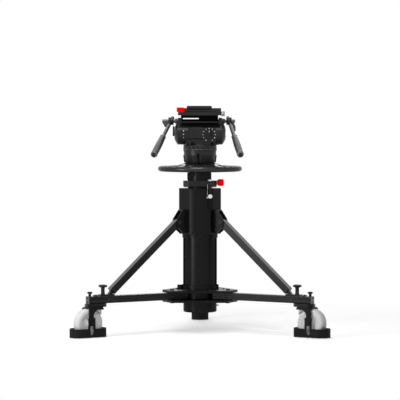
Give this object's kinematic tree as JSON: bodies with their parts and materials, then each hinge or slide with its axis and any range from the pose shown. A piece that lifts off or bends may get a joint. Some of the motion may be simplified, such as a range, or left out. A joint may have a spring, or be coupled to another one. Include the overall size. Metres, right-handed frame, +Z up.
{
  "type": "camera pedestal",
  "caption": "Rolling camera pedestal: a rising column on a braced tripod dolly with guarded casters, a steering ring and a fluid head with two pan bars.",
  "frame": {"origin": "on the floor, under the middle of the whole outline", "axes": "+Z up, -Y towards the operator, +X to the operator's right when facing the pedestal"},
  "size_m": [1.1156, 0.9758, 0.993],
  "materials": {
    "black_paint": "satin",
    "black_anodised": "satin",
    "steel": "satin",
    "bright_steel": "polished",
    "black_plastic": "matt",
    "red_plastic": "gloss",
    "grip_rubber": "matt",
    "tread": "matt",
    "bronze": "satin"
  },
  "bodies": {
    "base": {"column_tube": "black_anodised", "column_housing": "black_paint", "housing_ring": "black_paint", "guide_bush": "black_plastic", "lower_plate": "black_paint", "upper_plate": "black_paint", "clamp_ring": "black_paint", "pressure_housing": "black_paint", "leg_bolts": "steel", "strut_brackets": "black_paint", "latch_keeper": "black_plastic", "leg_rear": "black_paint"},
    "lift": {"lift_tube": "black_anodised", "top_collar": "black_paint", "neck": "black_anodised", "steering_ring": "black_paint", "bowl": "black_paint", "head_base": "black_paint"},
    "pan_head": {"pan_block": "black_paint", "head_housing": "black_paint", "tilt_axle": "steel"},
    "tilt_head": {"tilt_yoke": "black_paint", "platform": "black_paint", "rosettes": "steel"},
    "arm_left": {"pan_bar_left": "black_anodised", "grip_left": "grip_rubber"},
    "arm_right": {"pan_bar_right": "black_anodised", "grip_right": "grip_rubber"},
    "camera_plate": {"camera_plate": "black_anodised"},
    "release_lever": {"release_lever": "red_plastic"},
    "leg_left": {"leg_left": "black_paint"},
    "leg_right": {"leg_right": "black_paint"},
    "strut_left": {"strut_left": "black_paint"},
    "strut_right": {"strut_right": "black_paint"},
    "strut_rear": {"strut_rear": "black_paint"},
    "caster_left": {"caster_fork_left": "black_paint", "cable_guard_left": "black_plastic"},
    "caster_right": {"caster_fork_right": "black_paint", "cable_guard_right": "black_plastic"},
    "caster_rear": {"caster_fork_rear": "black_paint", "cable_guard_rear": "black_plastic"},
    "wheel_left": {"caster_wheel_left": "tread"},
    "wheel_right": {"caster_wheel_right": "tread"},
    "wheel_rear": {"caster_wheel_rear": "tread"},
    "counterbalance_dial": {"counterbalance_dial": "black_plastic"},
    "pan_lock_lever": {"pan_lock_lever": "black_plastic"},
    "tilt_lock_lever": {"tilt_lock_lever": "black_plastic"},
    "brake_knob": {"brake_knob": "red_plastic"},
    "transport_latch": {"transport_latch": "steel"},
    "tilt_drag_ring": {"tilt_drag_ring": "black_anodised"},
    "pan_drag_ring": {"pan_drag_ring": "black_anodised"},
    "balance_knob": {"balance_knob": "black_plastic"},
    "bar_knob_left": {"bar_knob_left": "black_plastic"},
    "bar_knob_right": {"bar_knob_right": "black_plastic"},
    "strut_knob_left": {"strut_knob_left": "black_plastic"},
    "strut_knob_right": {"strut_knob_right": "black_plastic"},
    "strut_knob_rear": {"strut_knob_rear": "black_plastic"},
    "swivel_lock_left": {"swivel_lock_left": "black_plastic"},
    "swivel_lock_right": {"swivel_lock_right": "black_plastic"},
    "swivel_lock_rear": {"swivel_lock_rear": "black_plastic"}
  },
  "joints": [
    {"name": "column_lift", "type": "slide", "parent": "base", "child": "lift", "axis": [0, 0, 1], "range_m": [0, 0.34]},
    {"name": "head_pan", "type": "hinge", "parent": "lift", "child": "pan_head", "pos_m": [0, -0.14861, 0.82], "axis": [0, 0, 1], "continuous": true},
    {"name": "head_tilt", "type": "hinge", "parent": "pan_head", "child": "tilt_head", "pos_m": [0, -0.14861, 0.873], "axis": [1, 0, 0], "range_deg": [-50, 35]},
    {"name": "pan_bar_left_hinge", "type": "hinge", "parent": "tilt_head", "child": "arm_left", "pos_m": [-0.1275, -0.14861, 0.926], "axis": [-1, 0, 0], "range_deg": [-30, 60]},
    {"name": "pan_bar_right_hinge", "type": "hinge", "parent": "tilt_head", "child": "arm_right", "pos_m": [0.1275, -0.14861, 0.926], "axis": [-1, 0, 0], "range_deg": [-30, 60]},
    {"name": "plate_slide", "type": "slide", "parent": "tilt_head", "child": "camera_plate", "axis": [0, 1, 0], "range_m": [-0.04, 0.04]},
    {"name": "release_lever_turn", "type": "hinge", "parent": "tilt_head", "child": "release_lever", "pos_m": [-0.081, -0.17061, 0.976], "axis": [0, 0, -1], "range_deg": [0, 80]},
    {"name": "leg_fold_left", "type": "hinge", "parent": "base", "child": "leg_left", "pos_m": [-0.12211, -0.21911, 0.161], "axis": [0, 0, -1], "range_deg": [0, 120]},
    {"name": "leg_fold_right", "type": "hinge", "parent": "base", "child": "leg_right", "pos_m": [0.12211, -0.21911, 0.161], "axis": [0, 0, 1], "range_deg": [0, 120]},
    {"name": "strut_lift_left", "type": "hinge", "parent": "base", "child": "strut_left", "pos_m": [-0.09873, -0.20561, 0.484], "axis": [-0.5, 0.866, 0], "range_deg": [0, 30]},
    {"name": "strut_lift_right", "type": "hinge", "parent": "base", "child": "strut_right", "pos_m": [0.09873, -0.20561, 0.484], "axis": [-0.5, -0.866, 0], "range_deg": [0, 30]},
    {"name": "strut_lift_rear", "type": "hinge", "parent": "base", "child": "strut_rear", "pos_m": [0, -0.03461, 0.484], "axis": [1, 0, 0], "range_deg": [0, 30]},
    {"name": "caster_swivel_left", "type": "hinge", "parent": "leg_left", "child": "caster_left", "pos_m": [-0.44773, -0.40711, 0.128], "axis": [0, 0, 1], "continuous": true},
    {"name": "caster_swivel_right", "type": "hinge", "parent": "leg_right", "child": "caster_right", "pos_m": [0.44773, -0.40711, 0.128], "axis": [0, 0, 1], "continuous": true},
    {"name": "caster_swivel_rear", "type": "hinge", "parent": "base", "child": "caster_rear", "pos_m": [0, 0.36839, 0.128], "axis": [0, 0, 1], "continuous": true},
    {"name": "wheel_spin_left", "type": "hinge", "parent": "caster_left", "child": "wheel_left", "pos_m": [-0.47978, -0.42561, 0.0625], "axis": [0.5, -0.866, 0], "continuous": true},
    {"name": "wheel_spin_right", "type": "hinge", "parent": "caster_right", "child": "wheel_right", "pos_m": [0.47978, -0.42561, 0.0625], "axis": [0.5, 0.866, 0], "continuous": true},
    {"name": "wheel_spin_rear", "type": "hinge", "parent": "caster_rear", "child": "wheel_rear", "pos_m": [0, 0.40539, 0.0625], "axis": [-1, 0, 0], "continuous": true},
    {"name": "dial_turn", "type": "hinge", "parent": "pan_head", "child": "counterbalance_dial", "pos_m": [0.04, -0.19861, 0.867], "axis": [0, 1, 0], "range_deg": [0, 330]},
    {"name": "pan_lock_turn", "type": "hinge", "parent": "pan_head", "child": "pan_lock_lever", "pos_m": [-0.045, -0.22661, 0.828], "axis": [0, 1, 0], "range_deg": [-35, 35]},
    {"name": "tilt_lock_turn", "type": "hinge", "parent": "pan_head", "child": "tilt_lock_lever", "pos_m": [-0.116, -0.14861, 0.873], "axis": [1, 0, 0], "range_deg": [-40, 40]},
    {"name": "brake_turn", "type": "hinge", "parent": "lift", "child": "brake_knob", "pos_m": [0.08, -0.14861, 0.656], "axis": [1, 0, 0], "range_deg": [-180, 180]},
    {"name": "latch_swing", "type": "hinge", "parent": "lift", "child": "transport_latch", "pos_m": [0.044, -0.22161, 0.651], "axis": [-1, 0, 0], "range_deg": [0, 100]},
    {"name": "tilt_drag_turn", "type": "hinge", "parent": "pan_head", "child": "tilt_drag_ring", "pos_m": [-0.072, -0.14861, 0.873], "axis": [1, 0, 0], "range_deg": [0, 300]},
    {"name": "pan_drag_turn", "type": "hinge", "parent": "lift", "child": "pan_drag_ring", "pos_m": [0, -0.14861, 0.802], "axis": [0, 0, 1], "range_deg": [0, 300]},
    {"name": "balance_turn", "type": "hinge", "parent": "tilt_head", "child": "balance_knob", "pos_m": [0.1, -0.18861, 0.959], "axis": [1, 0, 0], "continuous": true},
    {"name": "bar_knob_left_turn", "type": "hinge", "parent": "tilt_head", "child": "bar_knob_left", "pos_m": [-0.145, -0.14861, 0.926], "axis": [1, 0, 0], "continuous": true},
    {"name": "bar_knob_right_turn", "type": "hinge", "parent": "tilt_head", "child": "bar_knob_right", "pos_m": [0.145, -0.14861, 0.926], "axis": [1, 0, 0], "continuous": true},
    {"name": "strut_knob_left_turn", "type": "hinge", "parent": "strut_left", "child": "strut_knob_left", "pos_m": [-0.41742, -0.38961, 0.2], "axis": [0, 0, 1], "continuous": true},
    {"name": "strut_knob_right_turn", "type": "hinge", "parent": "strut_right", "child": "strut_knob_right", "pos_m": [0.41742, -0.38961, 0.2], "axis": [0, 0, 1], "continuous": true},
    {"name": "strut_knob_rear_turn", "type": "hinge", "parent": "strut_rear", "child": "strut_knob_rear", "pos_m": [0, 0.33339, 0.2], "axis": [0, 0, 1], "continuous": true},
    {"name": "swivel_lock_left_turn", "type": "hinge", "parent": "leg_left", "child": "swivel_lock_left", "pos_m": [-0.47198, -0.42111, 0.19], "axis": [0, 0, 1], "range_deg": [-180, 180]},
    {"name": "swivel_lock_right_turn", "type": "hinge", "parent": "leg_right", "child": "swivel_lock_right", "pos_m": [0.47198, -0.42111, 0.19], "axis": [0, 0, 1], "range_deg": [-180, 180]},
    {"name": "swivel_lock_rear_turn", "type": "hinge", "parent": "base", "child": "swivel_lock_rear", "pos_m": [0, 0.39639, 0.19], "axis": [0, 0, 1], "range_deg": [-180, 180]}
  ]
}
